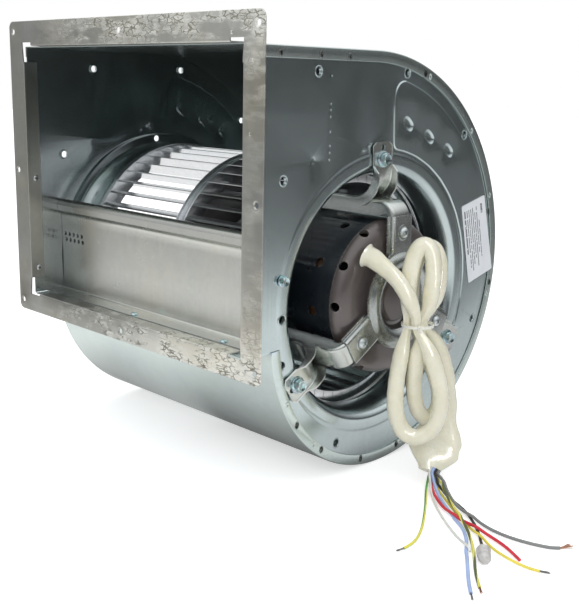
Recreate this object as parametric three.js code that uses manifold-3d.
// Direct-drive double-inlet centrifugal blower: galvanised scroll housing with a
// rectangular outlet flange, twin forward-curved wheel, and a motor hung in the
// right-hand inlet on a three-arm spider.
//
// Units mm. +X along the shaft towards the motor side, -Y (front) out of the outlet, +Z up.
// Everything is drawn about the wheel centre on the shaft axis, then each mesh is moved by
// ORIGIN, so the part's own origin lies on the outlet flange's front face, on the housing's
// centre plane, 5 mm above the flange's lower edge.
import * as THREE from 'three';
import { mergeVertices } from 'three/addons/utils/BufferGeometryUtils.js';
import Module from 'manifold-3d';

// ---------------------------------------------------------------- shared dimensions
const HALF_WIDTH = 165; // housing centre to the outer face of a side plate
const PLATE_T = 1.2; // side plate sheet
const WRAP_T = 1.0; // scroll sheet
const GAP = 0.3; // gap between separate sheets
const PLATE_INNER_X = HALF_WIDTH - PLATE_T;
const INSIDE_X = PLATE_INNER_X - GAP; // half width of sheets fitted between the side plates
const DUCT_FRONT_Y = -163.2; // front edge of the sheets at the outlet
const FLOOR_TOP_Z = -31.5; // outlet floor

const FLANGE_Y = -168.7; // outlet flange front face
const FLANGE_Z0 = -50.3; // flange lower edge
const ORIGIN = [0, -FLANGE_Y, -(FLANGE_Z0 + 5)]; // wheel centre in the part's own frame

const FLOOR_SCREW_XS = [-13.2, 116.6];
const FLOOR_SCREW_Y = -146;
const FLOOR_SCREW_HOLE_R = 1.9;
const LIP_RIVET_Y = -159;
const LIP_RIVET_ZS = [88, -5];
const LIP_RIVET_HOLE_R = 2.2;

const RING_STEP_H = 0.8; // raised ring round each inlet
const PANEL_H = 1.0; // raised panel on each side plate
const EARTH_SCREW = [-125.2, 28.6]; // y, z on the motor-side plate

const SHAFT_R = 6.35;
const ARM_ANGLES = { top: 91.5, front: 211.5, back: 331.5 }; // degrees from +Y towards +Z
const ARM_BOLT_R = 124.5; // distance of the arm bolts from the shaft axis
const ARM_BOLT_HOLE_R = 3.3;
const SPIDER_SCREW_R = 61; // distance of the spider screws from the shaft axis
const SPIDER_HOLE_R = 2.6;

// ---------------------------------------------------------------- materials
const MATERIALS = {
  zinc: { color: 0x8d9695, roughness: 0.42, metalness: 0.75 },
  bright: { color: 0xc9ced2, roughness: 0.28, metalness: 0.85 },
  plated: { color: 0xa9c0c6, roughness: 0.25, metalness: 0.9 },
  steel: { color: 0x9aa0a4, roughness: 0.35, metalness: 0.85 },
  darkSteel: { color: 0x2a2c2e, roughness: 0.5, metalness: 0.6 },
  label: { color: 0xe4e8ec, roughness: 0.4, metalness: 0 },
  shellPaint: { color: 0x15181c, roughness: 0.25, metalness: 0.2 },
  bellPaint: { color: 0x3a3735, roughness: 0.45, metalness: 0.3 },
  lamination: { color: 0x55595c, roughness: 0.6, metalness: 0.6 },
  copper: { color: 0x9a5a34, roughness: 0.45, metalness: 0.6 },
  bronze: { color: 0x8c6a3c, roughness: 0.5, metalness: 0.6 },
  cream: { color: 0xdcd8bd, roughness: 0.45, metalness: 0 },
  tieNylon: { color: 0xe6e4d6, roughness: 0.4, metalness: 0 },
  capGrey: { color: 0xb9bcbe, roughness: 0.4, metalness: 0 },
};
const wireMaterial = (color) => ({ color, roughness: 0.45, metalness: 0 });

// ---------------------------------------------------------------- points and angles
const radians = THREE.MathUtils.degToRad;
const vector2 = ([x, y]) => new THREE.Vector2(x, y);

function polar(radius, degrees) {
  return [radius * Math.cos(radians(degrees)), radius * Math.sin(radians(degrees))];
}

function direction(from, to) {
  return unit([to[0] - from[0], to[1] - from[1]]);
}

function unit([x, y]) {
  const length = Math.hypot(x, y);
  return [x / length, y / length];
}

const circle = ([y, z], radius, sides, turn = 0) => Array.from({ length: sides }, (_, i) => {
  const angle = turn + (2 * Math.PI * i) / sides;
  return [y + radius * Math.cos(angle), z + radius * Math.sin(angle)];
});

// left-hand normal at each point of an open path, lengthened to keep the sheet
// thickness round a bend; minCosine limits that lengthening
function mitredNormals(path, minCosine) {
  return path.map((point, i) => {
    const before = i > 0 ? direction(path[i - 1], point) : direction(point, path[1]);
    const after = i < path.length - 1 ? direction(point, path[i + 1]) : before;
    const tangent = unit([before[0] + after[0], before[1] + after[1]]);
    const cosine = tangent[0] * before[0] + tangent[1] * before[1];
    const mitre = 1 / Math.max(minCosine, cosine);
    return [-tangent[1] * mitre, tangent[0] * mitre];
  });
}

// open path [[y, z], ...] thickened into a closed strip outline
function strip(path, thickness) {
  const normals = mitredNormals(path, 0.35);
  const side = (distance) => path.map((point, i) => [
    point[0] + normals[i][0] * distance,
    point[1] + normals[i][1] * distance,
  ]);
  return [...side(thickness / 2), ...side(-thickness / 2).reverse()];
}

// ---------------------------------------------------------------- meshes and solids
const wasm = await Module();
wasm.setup();

// merged vertices, without the triangles that collapse in the merge
function clean(geometry) {
  const bare = geometry.clone();
  bare.deleteAttribute('normal');
  bare.deleteAttribute('uv');
  const merged = mergeVertices(bare, 1e-4);
  const index = merged.index.array;
  const kept = [];
  for (let i = 0; i < index.length; i += 3) {
    const [first, second, third] = [index[i], index[i + 1], index[i + 2]];
    if (first !== second && second !== third && first !== third) kept.push(first, second, third);
  }
  merged.setIndex(kept);
  return merged;
}

function volume(geometry) {
  const position = geometry.attributes.position;
  const index = geometry.index.array;
  const corners = [new THREE.Vector3(), new THREE.Vector3(), new THREE.Vector3()];
  let total = 0;
  for (let i = 0; i < index.length; i += 3) {
    corners.forEach((corner, k) => corner.fromBufferAttribute(position, index[i + k]));
    total += corners[0].dot(corners[1].cross(corners[2])) / 6;
  }
  return total;
}

// clean copy with its triangles facing outwards
function faceOut(geometry) {
  const result = clean(geometry);
  if (volume(result) < 0) {
    const index = result.index.array;
    for (let i = 0; i < index.length; i += 3) {
      [index[i + 1], index[i + 2]] = [index[i + 2], index[i + 1]];
    }
  }
  return result;
}

function fromTriangles(vertices, triangles) {
  const geometry = new THREE.BufferGeometry();
  const positions = new Float32Array(vertices.flat());
  geometry.setAttribute('position', new THREE.BufferAttribute(positions, 3));
  geometry.setIndex(triangles.flat());
  return faceOut(geometry);
}

function toSolid(geometry) {
  const closed = faceOut(geometry);
  const mesh = new wasm.Mesh({
    numProp: 3,
    vertProperties: new Float32Array(closed.attributes.position.array),
    triVerts: new Uint32Array(closed.index.array),
  });
  mesh.merge();
  return new wasm.Manifold(mesh);
}

function toGeometry(solid) {
  const { vertProperties, numProp, triVerts } = solid.getMesh();
  const count = vertProperties.length / numProp;
  const positions = new Float32Array(count * 3);
  for (let i = 0; i < count; i++) {
    for (let k = 0; k < 3; k++) positions[i * 3 + k] = vertProperties[i * numProp + k];
  }
  const geometry = new THREE.BufferGeometry();
  geometry.setAttribute('position', new THREE.BufferAttribute(positions, 3));
  geometry.setIndex(Array.from(triVerts));
  return geometry;
}

const union = (...parts) => toGeometry(wasm.Manifold.union(parts.map(toSolid)));

function cut(body, ...tools) {
  return toGeometry(wasm.Manifold.difference([toSolid(body), ...tools.map(toSolid)]));
}

function mirrorX(geometry) {
  return faceOut(geometry.applyMatrix4(new THREE.Matrix4().makeScale(-1, 1, 1)));
}

const group = new THREE.Group();

// flat-shaded mesh, moved into the part's own frame
function add(name, geometry, material) {
  const faceted = geometry.toNonIndexed();
  faceted.computeVertexNormals();
  const mesh = new THREE.Mesh(faceted, new THREE.MeshStandardMaterial(material));
  mesh.name = name;
  mesh.position.set(...ORIGIN);
  group.add(mesh);
}

// ---------------------------------------------------------------- shape builders
// matrix that sends the local x, y and z axes to the three given directions
const basis = (...axes) => new THREE.Matrix4().makeBasis(
  ...axes.map((axis) => new THREE.Vector3(...axis)));
const ALONG_X = basis([0, 1, 0], [0, 0, 1], [1, 0, 0]);
const ALONG_Y = basis([1, 0, 0], [0, 0, 1], [0, -1, 0]);

function prism(outline, holes, depth, placing) {
  const shape = new THREE.Shape(outline.map(vector2));
  for (const hole of holes) shape.holes.push(new THREE.Path(hole.map(vector2)));
  const geometry = new THREE.ExtrudeGeometry(shape, { depth, bevelEnabled: false, steps: 1 });
  return geometry.applyMatrix4(placing);
}

// outline and holes in (y, z), extruded along X
function prismX(outline, xFrom, xTo, holes = []) {
  return faceOut(prism(outline, holes, xTo - xFrom, ALONG_X).translate(xFrom, 0, 0));
}

// outline and holes in (x, z), extruded along Y
function prismY(outline, yFrom, yTo, holes = []) {
  return faceOut(prism(outline, holes, yTo - yFrom, ALONG_Y).translate(0, yTo, 0));
}

function box([xFrom, xTo], [yFrom, yTo], [zFrom, zTo]) {
  return new THREE.BoxGeometry(xTo - xFrom, yTo - yFrom, zTo - zFrom)
    .translate((xFrom + xTo) / 2, (yFrom + yTo) / 2, (zFrom + zTo) / 2);
}

// round or many-sided rod along X about centre [y, z]
function rodX(centre, radius, sides, xFrom, xTo, turn = 0) {
  return prismX(circle(centre, radius, sides, turn), xFrom, xTo);
}

// round rod along Z about centre [x, y, z]
function rodZ(radius, length, centre) {
  return new THREE.CylinderGeometry(radius, radius, length, 10)
    .rotateX(Math.PI / 2)
    .translate(...centre);
}

// closed profile [[x, radius], ...] turned about the X axis; points on the axis
// become a single vertex
function turnX(profile, sides) {
  const vertices = [];
  const triangles = [];
  const rings = profile.map(([x, radius]) => {
    const start = vertices.length;
    if (radius < 1e-6) {
      vertices.push([x, 0, 0]);
      return [start];
    }
    for (const [y, z] of circle([0, 0], radius, sides)) vertices.push([x, y, z]);
    return Array.from({ length: sides }, (_, i) => start + i);
  });
  rings.forEach((ring, j) => {
    const next = rings[(j + 1) % rings.length];
    if (ring.length === 1 && next.length === 1) return;
    for (let i = 0; i < sides; i++) {
      const k = (i + 1) % sides;
      if (ring.length === 1) triangles.push([ring[0], next[i], next[k]]);
      else if (next.length === 1) triangles.push([ring[i], next[0], ring[k]]);
      else triangles.push([ring[i], next[i], next[k]], [ring[i], next[k], ring[k]]);
    }
  });
  return fromTriangles(vertices, triangles);
}

// sections (arrays of 3-D points, all the same length) skinned into one body;
// flat is the section in its own plane, for closing the two ends
function skin(sections, flat) {
  const count = sections[0].length;
  const triangles = [];
  for (let j = 0; j + 1 < sections.length; j++) {
    const near = j * count;
    const far = near + count;
    for (let i = 0; i < count; i++) {
      const k = (i + 1) % count;
      triangles.push([near + i, near + k, far + k], [near + i, far + k, far + i]);
    }
  }
  const last = (sections.length - 1) * count;
  for (const [first, second, third] of THREE.ShapeUtils.triangulateShape(flat.map(vector2), [])) {
    triangles.push([first, third, second]);
    triangles.push([last + first, last + second, last + third]);
  }
  return fromTriangles(sections.flat(), triangles);
}

// round bar along a 3-D polyline with a radius per point; its start must not run along Z
function bar(points, radii, sides) {
  const centres = points.map((point) => new THREE.Vector3(...point));
  const start = centres[1].clone().sub(centres[0]).normalize();
  const across = new THREE.Vector3(0, 0, 1).cross(start).normalize();
  const sections = centres.map((centre, i) => {
    const before = centres[Math.max(0, i - 1)];
    const after = centres[Math.min(centres.length - 1, i + 1)];
    const tangent = after.clone().sub(before).normalize();
    across.sub(tangent.clone().multiplyScalar(across.dot(tangent))).normalize();
    const upright = tangent.clone().cross(across);
    return circle([0, 0], radii[i], sides).map(([sideways, up]) => centre.clone()
      .addScaledVector(across, sideways)
      .addScaledVector(upright, up)
      .toArray());
  });
  return skin(sections, circle([0, 0], 1, sides));
}

// ---------------------------------------------------------------- scroll outline
// three tangent arcs, centre and radius
const ARC_BACK_TOP = { y: -13.46, z: 15.69, radius: 202.61 };
const BACK_Y = ARC_BACK_TOP.y + ARC_BACK_TOP.radius;
const ROOF_Z = ARC_BACK_TOP.z + ARC_BACK_TOP.radius;
const ARC_BACK_LOW = { y: BACK_Y - 181.26, z: ARC_BACK_TOP.z, radius: 181.26 };
const BOTTOM_Z = ARC_BACK_LOW.z - ARC_BACK_LOW.radius;
const ARC_FRONT = { y: ARC_BACK_LOW.y, z: BOTTOM_Z + 144.41, radius: 144.41 };
// the front arc stops level with the outlet floor
const ARC_END = -180
  + THREE.MathUtils.radToDeg(Math.asin((ARC_FRONT.z - FLOOR_TOP_Z) / ARC_FRONT.radius));

// points with their outward normal, in equal steps from one angle to another
function arcPoints(arc, from, to, steps) {
  return Array.from({ length: steps + 1 }, (_, i) => {
    const [outY, outZ] = polar(1, from + ((to - from) * i) / steps);
    return { y: arc.y + arc.radius * outY, z: arc.z + arc.radius * outZ, outY, outZ };
  });
}

// outer face of the wrap, from the roof's front edge round the back to the floor
const SCROLL = [
  { y: DUCT_FRONT_Y, z: ROOF_Z, outY: 0, outZ: 1 },
  ...arcPoints(ARC_BACK_TOP, 90, 0, 14),
  ...arcPoints(ARC_BACK_LOW, 0, -90, 12).slice(1),
  ...arcPoints(ARC_FRONT, -90, ARC_END, 10).slice(1),
];
const scrollInset = (depth) => SCROLL.map(
  ({ y, z, outY, outZ }) => [y - outY * depth, z - outZ * depth]);

// ---------------------------------------------------------------- scroll wrap
const SEAM_W = 10; // folded seam band over each side plate

// U section swept round the scroll, then the flat outlet floor
function scrollWrap() {
  const innerX = HALF_WIDTH + GAP;
  const outerX = innerX + WRAP_T;
  const section = [ // x, depth below the outer face
    [-outerX, 0], [outerX, 0], [outerX, SEAM_W], [innerX, SEAM_W],
    [innerX, WRAP_T], [-innerX, WRAP_T], [-innerX, SEAM_W], [-outerX, SEAM_W],
  ];
  const sections = SCROLL.map(({ y, z, outY, outZ }) => section.map(
    ([x, depth]) => [x, y - outY * depth, z - outZ * depth]));
  const floorBackY = SCROLL.at(-1).y + 1.2;
  const floor = box([-INSIDE_X, INSIDE_X], [DUCT_FRONT_Y, floorBackY],
    [FLOOR_TOP_Z - WRAP_T, FLOOR_TOP_Z]);
  return cut(union(skin(sections, section), floor), ...floorScrewHoles(FLOOR_TOP_Z));
}

function floorScrewHoles(z) {
  return FLOOR_SCREW_XS.map((x) => rodZ(FLOOR_SCREW_HOLE_R, 6, [x, FLOOR_SCREW_Y, z]));
}

add('scroll_wrap', scrollWrap(), MATERIALS.zinc);

// ---------------------------------------------------------------- side plates
const INLET_R = 120; // bellmouth mouth radius
const THROAT_R = 108.5; // bellmouth throat radius
const THROAT_X = 140;
const RING_STEP_R = 129.6; // outer radius of the raised ring round the inlet
const PLATE_HOLE_R = 3.6;
const PLATE_HOLES = [ // y, z
  [-86.5, 198.8], [29.6, 199.9], [122.9, 142.9], [154.7, -47],
  [-50.6, -133.3], [-124.3, -4.9], [-123.2, -45.3], [-124.8, 111.2],
];
// raised panel outline, y, z; its last six points follow the inlet ring
const PANEL = [
  [12.7, 131.8], [10.9, 172.7], [13.2, 188.1], [22.8, 194.5], [32.2, 192.5], [56.5, 184.3],
  [82.2, 171.2], [104.3, 154.7], [125, 135], [146, 107], [160, 80], [168.5, 50], [171.5, 20],
  [171, 0], [166.6, -18.4], [159.8, -38.8], [149.5, -51.5], [135, -56.3], [119.9, -50.1],
  ...[-20, 0, 20, 40, 60, 78].map((degrees) => polar(132.4, degrees)),
];

// raised ring and curved bellmouth, as one turned sheet
function bellmouth() {
  const curve = (mouthX, mouthR, angles) => angles.map((degrees) => [
    THROAT_X + (mouthX - THROAT_X) * Math.cos(radians(degrees)),
    mouthR - (INLET_R - THROAT_R) * Math.sin(radians(degrees)),
  ]);
  return turnX([
    [PLATE_INNER_X, RING_STEP_R + 1],
    [HALF_WIDTH, RING_STEP_R + 1],
    [HALF_WIDTH + RING_STEP_H, RING_STEP_R - 0.4],
    [HALF_WIDTH + RING_STEP_H, INLET_R + 2],
    ...curve(HALF_WIDTH, INLET_R, [0, 30, 60, 90]),
    ...curve(PLATE_INNER_X, INLET_R + PLATE_T, [90, 60, 30]),
    [PLATE_INNER_X, INLET_R + PLATE_T],
  ], 32);
}

function sidePlate(extraHoles = []) {
  const inner = scrollInset(WRAP_T + GAP);
  const lowZ = FLOOR_TOP_Z + GAP;
  const outline = [...inner, [inner.at(-1)[0], lowZ], [DUCT_FRONT_Y, lowZ]];
  const nearInlet = ([y, z]) => Math.hypot(y, z) < 140;
  const sheet = prismX(outline, PLATE_INNER_X, HALF_WIDTH, [
    circle([0, 0], INLET_R + 4, 32),
    ...PLATE_HOLES.filter((hole) => !nearInlet(hole))
      .map((hole) => circle(hole, PLATE_HOLE_R, 8)),
    ...LIP_RIVET_ZS.map((z) => circle([LIP_RIVET_Y, z], LIP_RIVET_HOLE_R, 8)),
  ]);
  const panel = prismX(PANEL, HALF_WIDTH - 0.2, HALF_WIDTH + PANEL_H);
  // holes near the inlet may run into the raised ring, so they are drilled last
  const drills = PLATE_HOLES.filter(nearInlet)
    .map((hole) => rodX(hole, PLATE_HOLE_R, 8, HALF_WIDTH - 4, HALF_WIDTH + 3));
  return cut(union(sheet, bellmouth(), panel), ...drills, ...extraHoles);
}

function motorSideHoles() {
  const drill = (centre, radius, sides) => rodX(
    centre, radius, sides, PLATE_INNER_X - 1, HALF_WIDTH + 3);
  return [
    ...Object.values(ARM_ANGLES)
      .map((degrees) => drill(polar(ARM_BOLT_R, degrees), ARM_BOLT_HOLE_R, 12)),
    drill(EARTH_SCREW, 2.2, 10),
  ];
}

add('side_plate_right', sidePlate(motorSideHoles()), MATERIALS.zinc);
add('side_plate_left', mirrorX(sidePlate()), MATERIALS.zinc);

// ---------------------------------------------------------------- cutoff plate
const CUTOFF_T = 1.0;
const CUTOFF_Y = -129; // cutoff plate plane
const NOSE = { y: -127.5, z: 57.3, radius: 7 };

// foot, wall, forward jog and rolled nose
function cutoffPlate() {
  const footZ = FLOOR_TOP_Z + GAP + CUTOFF_T / 2;
  const nose = [160, 125, 90, 55, 20, -10].map((degrees) => {
    const [y, z] = polar(NOSE.radius, degrees);
    return [NOSE.y + y, NOSE.z + z];
  });
  const path = [
    [-150, footZ], [CUTOFF_Y, footZ], [CUTOFF_Y, 50], [-134.3, 54.5], ...nose, [-119.6, 52],
  ];
  const plate = prismX(strip(path, CUTOFF_T), -INSIDE_X, INSIDE_X);
  return cut(plate, ...floorScrewHoles(footZ));
}

add('cutoff_plate', cutoffPlate(), MATERIALS.zinc);

// ---------------------------------------------------------------- outlet flange
const FLANGE_T = 1.2;
const FLANGE_X = 187; // half width over the flange
const FLANGE_Z1 = 242.5;
const FLANGE_CHAMFER = 4;
const MOUTH_X = INSIDE_X - FLANGE_T; // half width of the clear outlet
const MOUTH_Z0 = -29.9;
const MOUTH_Z1 = ROOF_Z + GAP; // the upper lip lies over the scroll roof
const LIP_END_Y = -153; // flange lips run back to here
const LIP_NOTCH = 15; // lips stop short of the corners
const FLANGE_HOLE_R = 3.5;
const FLANGE_HOLES = [ // x, z
  [-179.5, 232.5], [0, 231], [179.5, 232.5], [-179.5, 96],
  [179.5, 96], [-179.5, -40.5], [-4.6, -41], [179.5, -40.5],
];

// one pressed frame with four lips that run back along the duct
function outletFlange() {
  const insetX = FLANGE_X - FLANGE_CHAMFER;
  const lowZ = FLANGE_Z0 + FLANGE_CHAMFER;
  const highZ = FLANGE_Z1 - FLANGE_CHAMFER;
  const rim = [
    [-insetX, FLANGE_Z0], [insetX, FLANGE_Z0], [FLANGE_X, lowZ], [FLANGE_X, highZ],
    [insetX, FLANGE_Z1], [-insetX, FLANGE_Z1], [-FLANGE_X, highZ], [-FLANGE_X, lowZ],
  ];
  const mouth = [
    [-MOUTH_X, MOUTH_Z0], [MOUTH_X, MOUTH_Z0], [MOUTH_X, MOUTH_Z1], [-MOUTH_X, MOUTH_Z1],
  ];
  const boltHoles = FLANGE_HOLES.map((hole) => circle(hole, FLANGE_HOLE_R, 8));
  const face = prismY(rim, FLANGE_Y, FLANGE_Y + FLANGE_T, [mouth, ...boltHoles]);
  const lipY = [FLANGE_Y + 0.1, LIP_END_Y];
  const sideZ = [MOUTH_Z0 + LIP_NOTCH, MOUTH_Z1 - LIP_NOTCH];
  const levelX = [-MOUTH_X + LIP_NOTCH, MOUTH_X - LIP_NOTCH];
  const frame = union(face,
    box([-MOUTH_X - FLANGE_T, -MOUTH_X], lipY, sideZ),
    box([MOUTH_X, MOUTH_X + FLANGE_T], lipY, sideZ),
    box(levelX, lipY, [MOUTH_Z1, MOUTH_Z1 + FLANGE_T]),
    box(levelX, lipY, [MOUTH_Z0 - FLANGE_T, MOUTH_Z0]));
  const rivetHoles = [[-168, -158], [158, 168]].flatMap(([xFrom, xTo]) => LIP_RIVET_ZS.map(
    (z) => rodX([LIP_RIVET_Y, z], LIP_RIVET_HOLE_R, 8, xFrom, xTo)));
  return cut(frame, ...rivetHoles);
}

add('outlet_flange', outletFlange(), MATERIALS.zinc);

// ---------------------------------------------------------------- housing fasteners
// rivet that holds a side lip to the right side plate
function lipRivet(z) {
  return turnX([
    [MOUTH_X - 1.6, 0], [MOUTH_X - 1.6, 2.2], [MOUTH_X - 0.2, 3.4], [MOUTH_X - 0.2, 1.8],
    [HALF_WIDTH + 0.2, 1.8], [HALF_WIDTH + 0.2, 2.8], [HALF_WIDTH + 2, 2.4], [HALF_WIDTH + 2, 0],
  ], 10).translate(0, LIP_RIVET_Y, z);
}

// upright screw, head upwards, through the cutoff plate's foot and the floor
function floorScrew(x) {
  const seatZ = FLOOR_TOP_Z + GAP + 1.2;
  const screw = turnX([
    [seatZ + 2, 0], [seatZ + 2, 1.6], [seatZ + 1.2, 3.2], [seatZ, 3.6], [seatZ, 1.5],
    [FLOOR_TOP_Z - 5, 1.5], [FLOOR_TOP_Z - 6.5, 0],
  ], 10);
  screw.applyMatrix4(basis([0, 0, 1], [1, 0, 0], [0, 1, 0]));
  return faceOut(screw.translate(x, FLOOR_SCREW_Y, 0));
}

// turned shank and washer with a hexagonal head, about [y, z]
function hexScrew(centre, profile, head) {
  const shank = turnX(profile, 12).translate(0, ...centre);
  return union(shank, rodX(centre, head.radius, 6, head.xFrom, head.xTo, head.turn));
}

function earthScrew() {
  const seatX = HALF_WIDTH + RING_STEP_H + 0.2;
  return hexScrew(EARTH_SCREW, [
    [156, 0], [156, 1.9], [seatX, 1.9], [seatX, 5],
    [seatX + 1.1, 5], [seatX + 1.1, 1.9], [seatX + 2.1, 1.9], [seatX + 2.1, 0],
  ], { radius: 4.5, xFrom: seatX + 1, xTo: seatX + 4.8, turn: 0.2 });
}

// blank plate over the raised panel
function ratingPlate() {
  const outline = [[123, 72.1], [143, -8.1], [184, 2.7], [161.5, 81.6]];
  return prismX(outline, HALF_WIDTH + 1.45, HALF_WIDTH + 1.75);
}

LIP_RIVET_ZS.forEach((z, i) => add(`lip_rivet_${i + 1}`, lipRivet(z), MATERIALS.steel));
LIP_RIVET_ZS.forEach((z, i) => {
  add(`lip_rivet_${i + 3}`, mirrorX(lipRivet(z)), MATERIALS.steel);
});
FLOOR_SCREW_XS.forEach((x, i) => add(`shelf_screw_${i + 1}`, floorScrew(x), MATERIALS.steel));
add('earth_screw', earthScrew(), MATERIALS.plated);
add('rating_plate', ratingPlate(), MATERIALS.label);

// ---------------------------------------------------------------- motor
// "outer" is the +X end, "inner" the end towards the wheel
const MOTOR_R = 71;
const SHELL_T = 1.5;
const SHELL_X = [38, 170];
const CORE_X = [72, 133];
const CORE_MID_X = (CORE_X[0] + CORE_X[1]) / 2;
const BUSH_R = 10.7;
// profiles: x, radius
const OUTER_BELL = [
  [170.3, 71.8], [174, 71.8], [180, 69], [184, 58], [184, 24], [189, 20], [189, 0],
  [186, 0], [186, 10.9], [172, 10.9], [172, 15], [181, 18], [181, 57], [177, 66.5],
  [170.3, 68.8],
];
const INNER_BELL = [
  [37.7, 71], [34, 71], [26, 64], [23, 54], [23, 24], [18, 20], [18, 7.2], [21, 7.2],
  [21, 10.9], [37.5, 10.9], [37.5, 15], [26, 18], [26, 53], [29, 62], [37.7, 68.8],
];
const OUTER_WINDING = [[133.5, 46], [133.5, 65], [150, 64], [155, 56], [150, 47]];
const INNER_WINDING = OUTER_WINDING.map(([x, radius]) => [2 * CORE_MID_X - x, radius]);

// rods along X at the three spider screws
function atSpiderScrews(radius, sides, xFrom, xTo) {
  return Object.values(ARM_ANGLES)
    .map((degrees) => rodX(polar(SPIDER_SCREW_R, degrees), radius, sides, xFrom, xTo));
}

function tube([xFrom, xTo], innerR, outerR, sides) {
  return turnX([[xFrom, innerR], [xFrom, outerR], [xTo, outerR], [xTo, innerR]], sides);
}

function outerEndBell() {
  const bosses = atSpiderScrews(6.5, 10, 180, 189.4);
  const holes = atSpiderScrews(SPIDER_HOLE_R, 8, 183.6, 192);
  return cut(union(turnX(OUTER_BELL, 30), ...bosses), ...holes);
}

const bearingBush = (xRange) => tube(xRange, SHAFT_R + 0.09, BUSH_R, 24);

add('motor_shell', tube(SHELL_X, MOTOR_R - SHELL_T, MOTOR_R, 30), MATERIALS.shellPaint);
add('motor_end_bell_outer', outerEndBell(), MATERIALS.bellPaint);
add('motor_end_bell_inner', turnX(INNER_BELL, 24), MATERIALS.bellPaint);
add('stator_core', tube(CORE_X, 40.2, 68.6, 30), MATERIALS.lamination);
add('stator_winding_outer', turnX(OUTER_WINDING, 18), MATERIALS.copper);
add('stator_winding_inner', turnX(INNER_WINDING, 18), MATERIALS.copper);
add('bearing_bush_outer', bearingBush([170.5, 183.5]), MATERIALS.bronze);
add('bearing_bush_inner', bearingBush([22, 36]), MATERIALS.bronze);

// ---------------------------------------------------------------- motor hanger
const SPIDER_X = 191.5; // back face of the spider plate, towards the motor
const HANGER_T = 1.5; // web of the spider lugs, straps and arms
const FOLD_T = 1.2; // their folded edges
const STRAP_R = 88.3; // mid radius of the strap web along the motor
const STRAP_BEND_R = 14;
const ARM_WEB_R = 90.2; // mid radius of the arm web over the strap
const ARM_BEND_START_R = 113; // distance from the shaft axis where the arm's bend begins
const HANGER_END_X = 102; // straps and arms end here, over the motor
const RIVET_X = 120; // rivet through arm and strap

// U section [across, out from the web's mid plane]
function channel(halfWidth, depth) {
  const web = HANGER_T / 2;
  const inner = halfWidth - FOLD_T;
  return [
    [-halfWidth, -web], [halfWidth, -web], [halfWidth, depth], [inner, depth],
    [inner, web], [-inner, web], [-inner, depth], [-halfWidth, depth],
  ];
}

// channel along stations [[x, radius, channel depth], ...] in the plane through the
// shaft axis at the given angle
function sweepChannel(stations, halfWidth, degrees) {
  const [outY, outZ] = polar(1, degrees);
  const normals = mitredNormals(stations, 0.5);
  const sections = stations.map(([pathX, pathR, depth], i) => (
    channel(halfWidth, depth).map(([across, out]) => {
      const x = pathX + normals[i][0] * out;
      const radius = pathR + normals[i][1] * out;
      return [x, radius * outY - across * outZ, radius * outZ + across * outY];
    })));
  return skin(sections, channel(halfWidth, stations[0][2]));
}

// stations round a bend centred on [x, radius]; bends lists [degrees, channel depth]
function bendStations([centreX, centreR], bendR, bends) {
  return bends.map(([degrees, depth]) => {
    const [x, radius] = polar(bendR, degrees);
    return [centreX + x, centreR + radius, depth];
  });
}

// dished ring with three channel lugs
function motorSpider() {
  const ring = turnX([
    [SPIDER_X, 42.5], [SPIDER_X + HANGER_T, 42.5], [SPIDER_X + 3.4, 36.5], [SPIDER_X + 1, 28],
    [SPIDER_X - 0.5, 28], [SPIDER_X + 1.6, 36.5], [SPIDER_X, 40],
  ], 30);
  const midX = SPIDER_X + HANGER_T / 2;
  const lugs = Object.values(ARM_ANGLES)
    .map((degrees) => sweepChannel([[midX, 40.5, 5], [midX, 77, 5]], 13.6, degrees));
  const holes = atSpiderScrews(SPIDER_HOLE_R, 8, SPIDER_X - 1, SPIDER_X + 3);
  return cut(union(ring, ...lugs), ...holes);
}

// profile turned about the radial line at RIVET_X; its first column is then the
// distance from the shaft axis
function turnRadial(profile, degrees) {
  const [y, z] = polar(1, degrees);
  const placing = basis([0, y, z], [1, 0, 0], [0, z, -y]).setPosition(RIVET_X, 0, 0);
  return faceOut(turnX(profile, 10).applyMatrix4(placing));
}

const rivetHole = (degrees) => turnRadial([[80, 0], [80, 2.7], [97, 2.7], [97, 0]], degrees);

// face under the spider lug, bend, then back along the motor
function motorStrap(degrees) {
  const faceX = SPIDER_X - GAP - HANGER_T / 2;
  const bendCentre = [faceX - STRAP_BEND_R, STRAP_R - STRAP_BEND_R];
  const stations = [
    [faceX, 50, 4.5],
    [faceX, bendCentre[1], 5],
    ...bendStations(bendCentre, STRAP_BEND_R, [[22.5, 7], [45, 9], [67.5, 11], [90, 13]]),
    [HANGER_END_X, STRAP_R, 13],
  ];
  const screwHole = rodX(polar(SPIDER_SCREW_R, degrees), SPIDER_HOLE_R, 8, 186, 195);
  return cut(sweepChannel(stations, 12, degrees), rivetHole(degrees), screwHole);
}

// pad on the side plate, bend, then over the strap
const ARM_PAD_X = HALF_WIDTH + RING_STEP_H + GAP + HANGER_T / 2; // mid plane of the pad
function motorArm(degrees) {
  const bendR = ARM_BEND_START_R - ARM_WEB_R;
  const bends = [-22.5, -45, -67.5, -90].map((angle) => [angle, 9.5]);
  const stations = [
    [ARM_PAD_X, 131.5, 1.2],
    [ARM_PAD_X, 126, 1.6],
    [ARM_PAD_X, ARM_BEND_START_R, 7],
    ...bendStations([ARM_PAD_X - bendR, ARM_BEND_START_R], bendR, bends),
    [HANGER_END_X, ARM_WEB_R, 9.5],
  ];
  const boltHole = rodX(polar(ARM_BOLT_R, degrees), ARM_BOLT_HOLE_R, 12, 160, 172);
  return cut(sweepChannel(stations, 13.7, degrees), rivetHole(degrees), boltHole);
}

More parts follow.
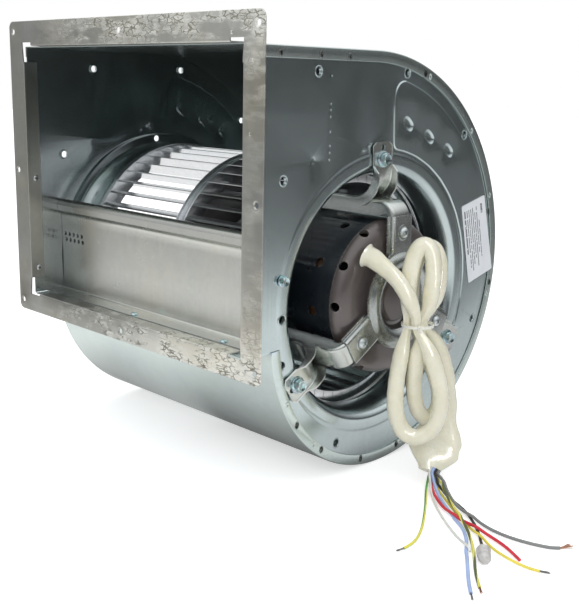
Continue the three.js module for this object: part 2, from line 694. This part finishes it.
function armBolt(degrees) {
  const seatX = ARM_PAD_X + HANGER_T / 2 + 0.2;
  return hexScrew(polar(ARM_BOLT_R, degrees), [
    [158, 0], [158, 2.9], [seatX, 2.9], [seatX, 7.2],
    [seatX + 1.4, 7.2], [seatX + 1.8, 4.6], [seatX + 4, 4.6], [seatX + 4, 0],
  ], { radius: 5.2, xFrom: seatX + 1.3, xTo: seatX + 6.2, turn: 0.3 });
}

function armRivet(degrees) {
  return turnRadial([
    [85.6, 0], [85.6, 2.6], [87.3, 4], [87.3, 2.4], [91.2, 2.4], [91.2, 4.2], [92.4, 3.4],
    [93.2, 0],
  ], degrees);
}

function spiderScrew(degrees) {
  const seatX = SPIDER_X + HANGER_T + 0.2;
  return turnX([
    [184.2, 0], [184.2, 2.3], [seatX, 2.3], [seatX, 4.6], [seatX + 1.4, 4.2],
    [seatX + 2.6, 2.6], [seatX + 3, 0],
  ], 10).translate(0, ...polar(SPIDER_SCREW_R, degrees));
}

add('motor_spider', motorSpider(), MATERIALS.zinc);
for (const [name, degrees] of Object.entries(ARM_ANGLES)) {
  add(`motor_strap_${name}`, motorStrap(degrees), MATERIALS.zinc);
  add(`motor_arm_${name}`, motorArm(degrees), MATERIALS.zinc);
  add(`arm_bolt_${name}`, armBolt(degrees), MATERIALS.plated);
  add(`arm_rivet_${name}`, armRivet(degrees), MATERIALS.steel);
  add(`spider_screw_${name}`, spiderScrew(degrees), MATERIALS.steel);
}

// ---------------------------------------------------------------- motor lead
const SLEEVE_R = 7;
const SLEEVE_START_RADII = [10.2, 8.6, 7.4]; // flared end at the motor
const TIE_SLEEVE_R = 3.6; // sleeve squeezed where the tie goes round
const TIE_CENTRE = [224.5, -15.5, -15];
const TIE_RING_R = 13.6;
const TIE_T = 1.1;
const TIE_HALF_W = 1.8;
const WIRE_R = 1.15;
const CAP_AXIS = [[349.00, -82.00, -159.40], [359.28, -94.26, -160.20]];
const CAP_STATIONS = [ // share of the axis length, radius
  [0, 5.2], [0.06, 5.9], [0.12, 5.2], [0.8, 5.0], [0.94, 4.0], [1, 2.4],
];

// centre line of the sleeve: x, y, z
const SLEEVE_PATH = [
  [187.6, -44.5, 44.3], [193.89, -43.28, 42.54], [209.98, -39.62, 32.85],
  [218.03, -37.23, 25.63], [224.36, -34.82, 16.81], [227.24, -32.56, 10.35],
  [228.91, -29.58, 3.56], [229.6, -26.45, -3.43], [229.14, -23.09, -14.19],
  [230.1, -22.35, -17.86], [238.35, -17.93, -32.41], [240.75, -15.46, -39.68],
  [243.92, -10.48, -54.35], [245.64, -7.41, -65.29], [246.6, -5.29, -76.18],
  [246.5, -4.46, -87], [245.11, -5.22, -97.42], [242.15, -7.75, -106.74],
  [239.27, -10.38, -111.68], [233.95, -15.16, -116.33], [230.08, -18.53, -117.19],
  [226.3, -21.77, -116.05], [224.54, -23.27, -114.71], [220.29, -26.82, -108.36],
  [217.53, -29.05, -99.48], [215.64, -30.37, -85.5], [215.28, -30.4, -74.35],
  [215.8, -29.41, -59.38], [217.27, -26.84, -40.52], [218.3, -24.99, -29.14],
  [219.77, -23.52, -17.72], [218.89, -22.88, -6.05], [217.4, -21.9, 9.52],
  [217.7, -21.42, 20.61], [218.79, -20.72, 30.95], [220.69, -19.07, 39.82],
  [222.65, -17.22, 44.32], [225.14, -14.81, 46.84], [226.49, -13.49, 47.12],
  [229.03, -11.01, 45.54], [230.86, -9.23, 41.75], [232, -8.14, 36.49],
  [232.68, -7.57, 26.92], [232.54, -7.94, 16.04], [231.22, -9.75, 0.79],
  [227.87, -14.47, -11.11], [227.16, -15.36, -15.17], [227.54, -13.23, -27.42],
  [225.34, -14.17, -43.51], [222.08, -12.78, -59.55], [220.63, -11.24, -71.42],
  [220.36, -8.15, -86.38], [221.49, -4.8, -95.96], [223.83, -0.43, -102.81],
  [225.98, 2.89, -105.02], [227.12, 4.51, -105.2], [229.28, 7.42, -103.74],
  [231.65, 10.32, -97.96], [232.75, 11.42, -89.43], [232.5, 10.82, -79.4],
  [231.59, 9.52, -72.26], [229.15, 6.49, -61.44], [225.53, 2.86, -50.91],
  [219.81, -1.52, -36.79], [218.19, -5.09, -29.61], [217.91, -12.53, -18.74],
  [217.74, -13.76, -15.05], [216.89, -13.51, -11.28], [212.47, -10.1, 0.27],
  [210.39, -8.68, 12], [210.64, -7.73, 23.34], [211.64, -6.66, 30.22],
  [213.28, -5.02, 36.12], [215.57, -2.77, 40.61], [218.29, -0.14, 43.04],
  [221.12, 2.51, 43.08], [223.7, 4.77, 40.78], [225.72, 6.41, 36.64],
  [227.1, 7.33, 31.27], [227.93, 7.6, 25.19], [228.28, 7.28, 18.76],
  [227.97, 5.72, 8.93], [226.8, 2.24, -0.74], [224.96, -5.13, -10.17],
  [224.57, -6.75, -13.26], [224.46, -6.67, -16.35], [224.63, -4.76, -19.44],
  [225.95, 8.56, -31.92], [226.36, 13.28, -38.48], [227.04, 16.68, -45.49],
  [228.82, 21.95, -60.34], [230.39, 24.97, -71.91], [232.03, 27.11, -83.63],
  [233.68, 28.04, -95.43], [235.81, 26.71, -111.04], [237.21, 23.37, -122.32],
  [238.37, 16.25, -135.88], [238.59, 7.72, -148.15], [238.25, 6.01, -149.81],
];

const WIRE_COLOURS = {
  earth: 0x7fa53a,
  white: 0xe8e8e2,
  red: 0xc0392b,
  blue: 0x7fa8c9,
  yellow: 0xe3c23a,
  black: 0x17181a,
  grey: 0x8a8d90,
  yellow_short: 0xd8bf45,
};

// centre lines of the loose wires beyond the sleeve: x, y, z
const WIRE_PATHS = {
  earth: [
    [233.49, 5.5, -151.48], [233.36, 3.02, -154.62], [234.46, 0.54, -156.01],
    [240.87, -10.19, -157.82], [251.76, -26.48, -160.49], [262.31, -40.76, -162.61],
    [271.7, -54.15, -163.69], [282.7, -70.7, -164.13], [291.3, -85.42, -164.18],
    [295.96, -95.13, -164.19], [299.09, -104.84, -164.2], [300.27, -116.53, -164.2],
    [299.3, -126, -164.2],
  ],
  white: [
    [234.98, 3.38, -149.87], [234.84, 0.9, -153.01], [235.29, -0.36, -153.08],
    [236.2, -1.86, -152.9], [237.84, -3.96, -153.38], [253.75, -22.27, -159.19],
    [258.95, -27.57, -160.48], [266.92, -34.76, -161.9], [281.89, -46.64, -163.4],
    [297.96, -58.39, -164], [318.24, -72.21, -163.49], [334.87, -82.26, -161.42],
    [337.51, -83.97, -161.79], [339.85, -85.82, -163.07],
  ],
  red: [
    [236.55, 5.57, -151.67], [236.42, 3.09, -154.81], [238.3, -0.25, -156.93],
    [241.51, -5.19, -158.7], [247.18, -12.43, -160.13], [253.42, -18.5, -161.08],
    [260.25, -24.16, -161.89], [269.01, -30.58, -162.55], [278.63, -36.76, -162.55],
    [287.81, -41.36, -161.78], [294.74, -43.71, -161.34], [303.55, -46.25, -162.24],
    [320.54, -49.62, -161.28], [335.1, -51.91, -163.15], [347.91, -54.99, -163.87],
    [357.36, -58.83, -164.07], [372.73, -67.26, -164.2],
  ],
  blue: [
    [237.98, 3.29, -149.93], [237.84, 0.82, -153.07], [239.16, -1.48, -154.49],
    [248.03, -9.7, -158.15], [258.17, -18.38, -160.83], [270.03, -27.32, -162.55],
    [284.51, -36.82, -163.97], [296.88, -45.64, -164.2], [307.67, -52.57, -164.2],
    [314.27, -57.95, -164.2], [320.36, -64.1, -164.2], [325.97, -70.76, -164.2],
    [336.49, -86.19, -164.2], [366.22, -125.05, -164.2], [382.19, -143.14, -164.2],
  ],
  yellow: [
    [239.6, 5.4, -151.67], [239.46, 2.93, -154.81], [242.04, -0.68, -156.79],
    [249.65, -7.6, -160.47], [258.34, -14.26, -162.56], [288.28, -33.7, -163.97],
    [312.93, -48.62, -164.22], [320.28, -53.28, -163.36], [329.07, -58.44, -161.54],
    [343.08, -65.08, -163.1], [349.56, -67.71, -163.61], [357.78, -70.21, -163.93],
    [367.97, -72.28, -164.09], [378.93, -73.34, -164.16], [383.09, -73.29, -164.17],
    [390.67, -71.89, -164.19], [399.72, -67.58, -164.2],
  ],
  black: [
    [240.98, 3.13, -149.93], [240.84, 0.65, -153.07], [246.04, -3.87, -155.05],
    [250.34, -7.75, -157.51], [254.18, -9.96, -159.03], [263.43, -14.01, -161.73],
    [269.94, -16.52, -162.91], [286.06, -22.7, -163.83], [297.26, -28.74, -164.14],
    [312.37, -40.45, -164.2], [322.23, -49.7, -164.2], [329.02, -56.59, -164.2],
    [346.33, -76.97, -164.2],
  ],
  grey: [
    [242.68, 5, -151.48], [242.54, 2.52, -154.62], [243.42, 1.9, -154.91],
    [253.51, -3.5, -156.03], [261.42, -10.01, -158.53], [271.69, -18.18, -160.02],
    [284.33, -26.08, -161.74], [294.65, -30.91, -161.99], [306.17, -34.63, -161.5],
    [317.28, -37.7, -163.08], [327.04, -39.68, -163.74], [338.65, -40.54, -164.03],
    [348.62, -39.96, -164.13], [359.83, -37.93, -164.17], [370.53, -34.69, -164.19],
    [377.28, -31.77, -164.2], [382.18, -27.81, -164.2], [385.09, -24.18, -164.2],
    [388.22, -16.29, -164.2],
  ],
  yellow_short: [
    [238.41, 7.43, -153.22], [238.27, 4.96, -156.36], [240.4, 4.04, -157.55],
    [242.81, 2.26, -157.96], [247.95, -2.17, -157.97], [255.74, -8.91, -156.73],
    [266.83, -18.52, -158.44], [279.86, -28.98, -159.67], [289.63, -36.41, -159.99],
    [302.5, -46.13, -159.49], [314.02, -55.06, -161.56], [323.01, -62.75, -162.64],
    [331.04, -71.01, -163.45], [340.04, -81.46, -164.04], [362.32, -110.31, -164.2],
    [381.39, -131.1, -164.2],
  ],
};

// radius eased from the tie's squeeze, 3 mm off its plane, to full 25 mm further on
function sleeveRadius(z) {
  const share = Math.min(1, Math.max(0, (Math.abs(z - TIE_CENTRE[2]) - 3) / 25));
  const eased = share * share * (3 - 2 * share);
  return TIE_SLEEVE_R + (SLEEVE_R - TIE_SLEEVE_R) * eased;
}

function cableSleeve() {
  const radii = SLEEVE_PATH.map(([, , z], i) => SLEEVE_START_RADII[i] ?? sleeveRadius(z));
  return bar(SLEEVE_PATH, radii, 6);
}

// level band with a square head on its +X, -Y side
function cableTie() {
  const diagonal = Math.SQRT1_2;
  const placing = basis([0, 0, 1], [diagonal, diagonal, 0], [diagonal, -diagonal, 0])
    .setPosition(...TIE_CENTRE);
  const band = tube([-TIE_HALF_W, TIE_HALF_W], TIE_RING_R, TIE_RING_R + TIE_T, 16)
    .applyMatrix4(placing);
  const headOffset = (TIE_RING_R + 2.6) * diagonal;
  const head = new THREE.BoxGeometry(4.5, 4.5, 5.5)
    .rotateZ(Math.PI / 4)
    .translate(headOffset, -headOffset, 0)
    .translate(...TIE_CENTRE);
  return union(band, head);
}

function wireCap() {
  const [start, end] = CAP_AXIS.map((point) => new THREE.Vector3(...point));
  const points = CAP_STATIONS.map(([share]) => start.clone().lerp(end, share).toArray());
  return bar(points, CAP_STATIONS.map(([, radius]) => radius), 10);
}

add('cable_sleeve', cableSleeve(), MATERIALS.cream);
add('cable_tie', cableTie(), MATERIALS.tieNylon);
for (const [name, path] of Object.entries(WIRE_PATHS)) {
  add(`wire_${name}`, bar(path, path.map(() => WIRE_R), 5), wireMaterial(WIRE_COLOURS[name]));
}
add('wire_cap', wireCap(), MATERIALS.capGrey);

// ---------------------------------------------------------------- wheel and shaft
const WHEEL_HALF_W = 130;
const BLADES = 50; // per half
const BLADE_T = 0.9;
const BLADE_CURVE = [[101, 0], [112, 1.6], [119.1, 5.3]]; // radius, degrees of lead
const BAND_W = 3; // blade strip end bands
const RIM_X = [-1.5, 7.5]; // centre disc rim
const RIM_T = 1.1;
const DISC_MID_X = (RIM_X[0] + RIM_X[1]) / 2;
const DISC_T = 1.5;
const SET_SCREW_X = -13;
const SET_SCREW_L = 8.2;
// sheet ring over the right end of the blades: x, radius
const END_RING = [
  [WHEEL_HALF_W - 7, 121.4], [WHEEL_HALF_W + 1.5, 121.4], [WHEEL_HALF_W + 1.5, 112],
  [WHEEL_HALF_W + 0.3, 112], [WHEEL_HALF_W + 0.3, 120.5], [WHEEL_HALF_W - 7, 120.5],
];

// one half's blades, joined by a band that starts at bandX
function bladeStrip(xFrom, xTo, bandX) {
  const blades = Array.from({ length: BLADES }, (_, i) => {
    const base = (360 * i) / BLADES;
    const path = BLADE_CURVE.map(([radius, lead]) => polar(radius, base + lead));
    return prismX(strip(path, BLADE_T), xFrom, xTo);
  });
  const band = turnX([
    [bandX, 100.2], [bandX, 119.4], [bandX + BAND_W, 119.4], [bandX + BAND_W, 100.2],
  ], BLADES);
  return union(band, ...blades);
}

// flat disc with a channel rim
function centreDisc() {
  const [rimLeft, rimRight] = RIM_X;
  const discLeft = DISC_MID_X - DISC_T / 2;
  const discRight = DISC_MID_X + DISC_T / 2;
  return turnX([
    [rimLeft, 120.6], [rimLeft + RIM_T, 120.6], [rimLeft + RIM_T, 114],
    [rimRight - RIM_T, 114], [rimRight - RIM_T, 120.6], [rimRight, 120.6], [rimRight, 99],
    [discRight, 97], [discRight, 19.8], [discLeft, 19.8], [discLeft, 97], [rimLeft, 99],
  ], 30);
}

function wheelHub() {
  const boreR = SHAFT_R + 0.15;
  const hub = turnX([
    [-22, boreR], [-22, 14], [-3, 14], [-3, 19.5], [9, 19.5], [9, 14], [13, 14], [13, boreR],
  ], 16);
  return cut(hub, rodZ(2.7, 14, [SET_SCREW_X, 0, 12]));
}

function setScrew() {
  return rodZ(2.4, SET_SCREW_L, [SET_SCREW_X, 0, SHAFT_R + 0.3 + SET_SCREW_L / 2]);
}

function motorShaft() {
  return turnX([
    [-30, 0], [-30, 5.6], [-29, SHAFT_R], [182.5, SHAFT_R], [183.2, 5.6], [183.2, 0],
  ], 24);
}

add('wheel_blades_right',
  bladeStrip(RIM_X[1] + GAP, WHEEL_HALF_W, WHEEL_HALF_W - BAND_W), MATERIALS.bright);
add('wheel_blades_left',
  bladeStrip(-WHEEL_HALF_W, RIM_X[0] - GAP, -WHEEL_HALF_W), MATERIALS.bright);
add('wheel_end_ring_right', turnX(END_RING, 30), MATERIALS.bright);
add('wheel_end_ring_left',
  turnX(END_RING.map(([x, radius]) => [-x, radius]), 30), MATERIALS.bright);
add('wheel_centre_disc', centreDisc(), MATERIALS.bright);
add('wheel_hub', wheelHub(), MATERIALS.steel);
add('hub_set_screw', setScrew(), MATERIALS.darkSteel);
add('motor_shaft', motorShaft(), MATERIALS.steel);
add('rotor_core', tube([70, 135], SHAFT_R + 0.12, 39, 20), MATERIALS.lamination);

export default group;
